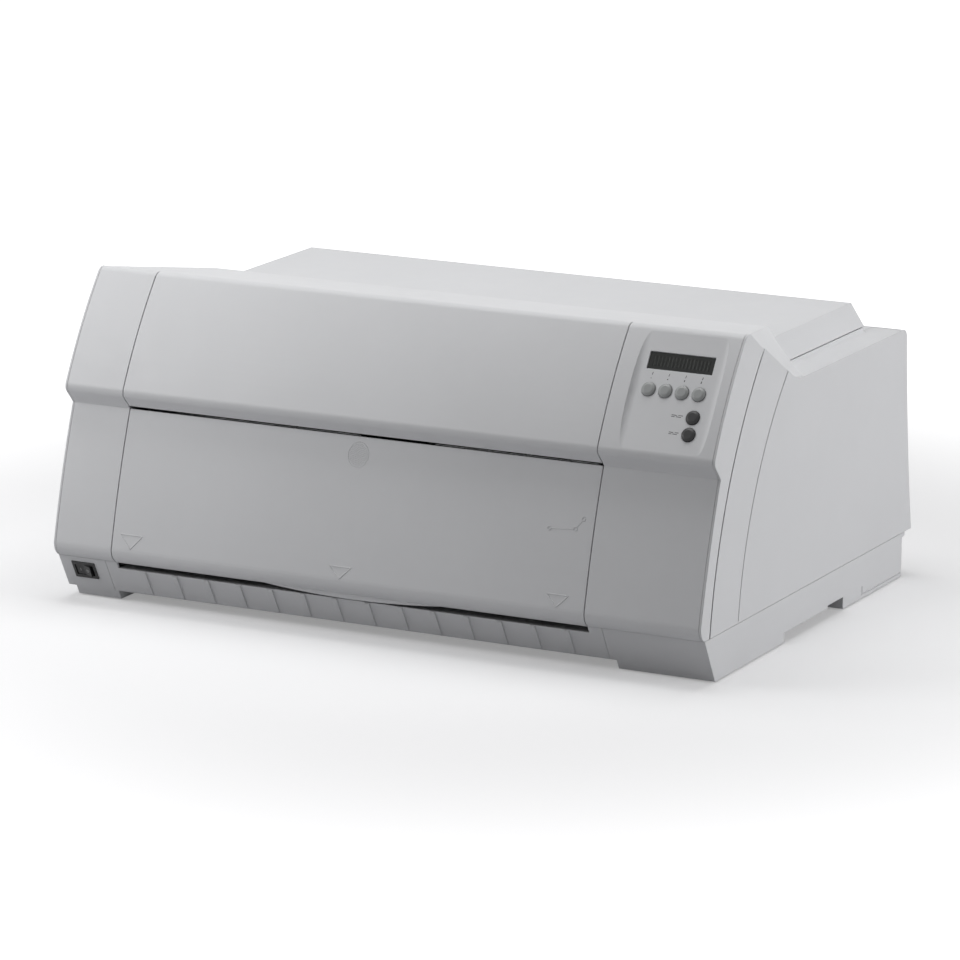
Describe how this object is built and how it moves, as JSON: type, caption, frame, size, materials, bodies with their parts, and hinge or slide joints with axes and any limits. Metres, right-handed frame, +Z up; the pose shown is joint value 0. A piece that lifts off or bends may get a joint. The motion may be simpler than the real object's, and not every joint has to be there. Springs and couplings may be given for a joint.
{
  "type": "dot matrix printer",
  "caption": "Wide-carriage dot matrix printer with hinged front cover, flap and rear hood, key console, tractor feed and a belt-driven print head.",
  "frame": {"origin": "centre of the footprint box, on the surface the rubber feet stand on", "axes": "+X along the carriage to the console side, -Y to the front, +Z up"},
  "size_m": [0.65, 0.456, 0.295],
  "materials": {
    "shell": "fine moulded grain, satin",
    "inner_grey": "moulded, satin",
    "key_grey": "smooth satin",
    "black_plastic": "moulded, satin",
    "display": "gloss window",
    "steel": "zinc-plated sheet and ground rod",
    "motor_black": "black oxide",
    "white_plastic": "acetal, satin",
    "rubber": "matt",
    "board_green": "solder mask",
    "inked_fabric": "woven nylon, inked"
  },
  "bodies": {
    "body": {"base_pan": "shell", "rubber_feet": "rubber", "paper_chute": "shell", "left_side_panel": "shell", "right_side_panel": "shell", "left_front_cap": "shell", "console_housing": "shell", "left_side_trim": "shell", "right_side_trim": "shell", "top_frame": "shell", "rear_panel": "shell", "rear_deck": "inner_grey", "chassis_left": "steel", "chassis_right": "steel", "cross_beam": "steel", "carriage_rod": "steel", "carriage_rail": "steel", "tractor_guide_rod": "steel", "platen_bearings": "white_plastic", "feed_motor": "motor_black", "carriage_motor": "motor_black", "carriage_belt": "rubber", "feed_belt": "rubber", "main_board": "board_green", "power_supply": "steel", "power_inlet": "black_plastic", "interface_ports": "black_plastic", "switch_frame": "black_plastic", "control_board": "board_green", "lcd_window": "display", "ribbon_cassette": "black_plastic", "ribbon_band": "inked_fabric", "hinge_pins": "steel", "hood_pins": "steel", "chassis_screws": "steel"},
    "upper_cover": {"upper_cover": "shell"},
    "front_flap": {"front_flap": "shell"},
    "rear_hood": {"rear_hood": "shell"},
    "power_rocker": {"power_rocker": "black_plastic"},
    "carriage": {"carriage": "black_plastic", "print_head": "steel"},
    "drive_pulley": {"drive_pulley": "steel"},
    "idler_pulley": {"idler_pulley": "steel"},
    "platen": {"platen_roller": "rubber", "platen_shaft": "steel", "platen_gear": "white_plastic", "platen_pulley": "black_plastic"},
    "motor_pinion": {"motor_pinion": "steel"},
    "tractor_shaft": {"tractor_shaft": "steel"},
    "tractor_left": {"tractor_left": "black_plastic"},
    "tractor_right": {"tractor_right": "black_plastic"},
    "tractor_left_door": {"tractor_left_door": "key_grey"},
    "tractor_right_door": {"tractor_right_door": "key_grey"},
    "ribbon_knob": {"ribbon_knob": "key_grey"},
    "menu_key_1": {"menu_key_1": "key_grey"},
    "menu_key_2": {"menu_key_2": "key_grey"},
    "menu_key_3": {"menu_key_3": "key_grey"},
    "menu_key_4": {"menu_key_4": "key_grey"},
    "upper_key": {"upper_key": "black_plastic"},
    "lower_key": {"lower_key": "black_plastic"}
  },
  "joints": [
    {"name": "cover_hinge", "type": "hinge", "parent": "body", "child": "upper_cover", "pos_m": [-0.0253, -0.1367, 0.286], "axis": [-1, 0, 0], "range_deg": [0, 75]},
    {"name": "flap_hinge", "type": "hinge", "parent": "body", "child": "front_flap", "pos_m": [-0.0253, -0.2145, 0.054], "axis": [1, 0, 0], "range_deg": [0, 82]},
    {"name": "hood_hinge", "type": "hinge", "parent": "body", "child": "rear_hood", "pos_m": [0, 0.1755, 0.2413], "axis": [-1, 0, 0], "range_deg": [0, 100]},
    {"name": "rocker_hinge", "type": "hinge", "parent": "body", "child": "power_rocker", "pos_m": [-0.301, -0.21011, 0.03036], "axis": [0, -0.4679, 0.8838], "range_deg": [0, 18]},
    {"name": "menu_key_1_press", "type": "slide", "parent": "body", "child": "menu_key_1", "axis": [0, 0.8436, -0.537], "range_m": [0, 0.0012], "stiffness_N_per_m": 400, "springref_m": -0.0008},
    {"name": "menu_key_2_press", "type": "slide", "parent": "body", "child": "menu_key_2", "axis": [0, 0.8436, -0.537], "range_m": [0, 0.0012], "stiffness_N_per_m": 400, "springref_m": -0.0008},
    {"name": "menu_key_3_press", "type": "slide", "parent": "body", "child": "menu_key_3", "axis": [0, 0.8436, -0.537], "range_m": [0, 0.0012], "stiffness_N_per_m": 400, "springref_m": -0.0008},
    {"name": "menu_key_4_press", "type": "slide", "parent": "body", "child": "menu_key_4", "axis": [0, 0.8436, -0.537], "range_m": [0, 0.0012], "stiffness_N_per_m": 400, "springref_m": -0.0008},
    {"name": "upper_key_press", "type": "slide", "parent": "body", "child": "upper_key", "axis": [0, 0.8436, -0.537], "range_m": [0, 0.0012], "stiffness_N_per_m": 400, "springref_m": -0.0008},
    {"name": "lower_key_press", "type": "slide", "parent": "body", "child": "lower_key", "axis": [0, 0.8436, -0.537], "range_m": [0, 0.0012], "stiffness_N_per_m": 400, "springref_m": -0.0008},
    {"name": "carriage_slide", "type": "slide", "parent": "body", "child": "carriage", "axis": [1, 0, 0], "range_m": [-0.165, 0.165]},
    {"name": "drive_pulley_turn", "type": "hinge", "parent": "body", "child": "drive_pulley", "pos_m": [-0.2318, -0.14, 0.15], "axis": [0, 0, 1], "continuous": true},
    {"name": "idler_pulley_turn", "type": "hinge", "parent": "body", "child": "idler_pulley", "pos_m": [0.1812, -0.14, 0.15], "axis": [0, 0, 1], "continuous": true},
    {"name": "platen_turn", "type": "hinge", "parent": "body", "child": "platen", "pos_m": [-0.0253, -0.07, 0.194], "axis": [1, 0, 0], "continuous": true},
    {"name": "pinion_turn", "type": "hinge", "parent": "body", "child": "motor_pinion", "pos_m": [-0.2518, -0.03818, 0.16218], "axis": [1, 0, 0], "continuous": true},
    {"name": "tractor_shaft_turn", "type": "hinge", "parent": "body", "child": "tractor_shaft", "pos_m": [-0.0253, -0.16, 0.118], "axis": [1, 0, 0], "continuous": true},
    {"name": "tractor_left_slide", "type": "slide", "parent": "body", "child": "tractor_left", "axis": [1, 0, 0], "range_m": [0, 0.15]},
    {"name": "tractor_right_slide", "type": "slide", "parent": "body", "child": "tractor_right", "axis": [1, 0, 0], "range_m": [-0.15, 0.02]},
    {"name": "tractor_left_door_hinge", "type": "hinge", "parent": "tractor_left", "child": "tractor_left_door", "pos_m": [-0.2143, -0.178, 0.101], "axis": [0, 0, -1], "range_deg": [0, 110]},
    {"name": "tractor_right_door_hinge", "type": "hinge", "parent": "tractor_right", "child": "tractor_right_door", "pos_m": [0.1537, -0.178, 0.101], "axis": [0, 0, 1], "range_deg": [0, 110]},
    {"name": "ribbon_knob_turn", "type": "hinge", "parent": "body", "child": "ribbon_knob", "pos_m": [-0.2418, -0.16, 0.205], "axis": [0, 0, 1], "continuous": true}
  ],
  "couplings": [
    {"joint": "drive_pulley_turn", "follows": "carriage_slide", "rad_per_m": 112.36},
    {"joint": "idler_pulley_turn", "follows": "carriage_slide", "rad_per_m": 112.36},
    {"joint": "pinion_turn", "follows": "platen_turn", "ratio": -4},
    {"joint": "tractor_shaft_turn", "follows": "platen_turn", "ratio": 1}
  ]
}
